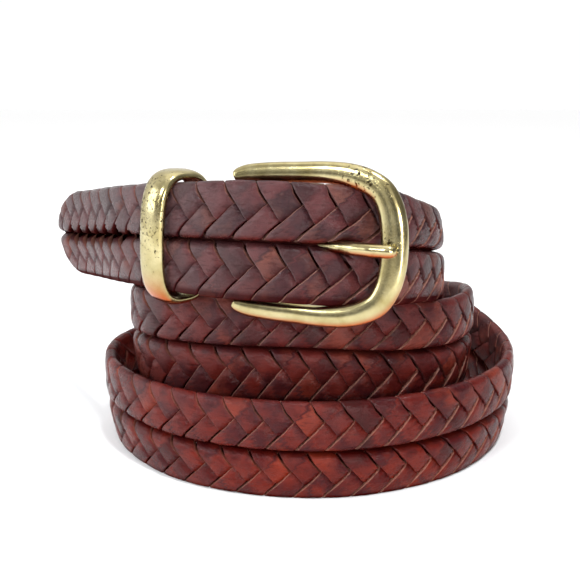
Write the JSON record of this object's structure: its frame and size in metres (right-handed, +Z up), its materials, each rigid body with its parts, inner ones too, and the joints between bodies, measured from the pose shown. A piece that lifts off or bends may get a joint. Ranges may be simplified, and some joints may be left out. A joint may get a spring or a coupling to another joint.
{
  "type": "braided leather belt",
  "caption": "Flat braided leather belt coiled in stacked turns and fastened in its own horseshoe buckle, with a loose keeper ring, to be worn round the waist.",
  "frame": {"origin": "middle of the coil's bounding box at the level that it rests on", "axes": "+X to the right across the buckled front, +Y to the back of the coil, +Z up through the stacked turns; the buckle faces -Y"},
  "size_m": [0.1748, 0.1266, 0.1026],
  "materials": {
    "leather": "waxed, softly polished",
    "brass": "worn and slightly pitted"
  },
  "bodies": {
    "root": {"strap": "leather", "buckle_frame": "brass", "prong": "brass", "keeper": "brass"}
  },
  "joints": []
}
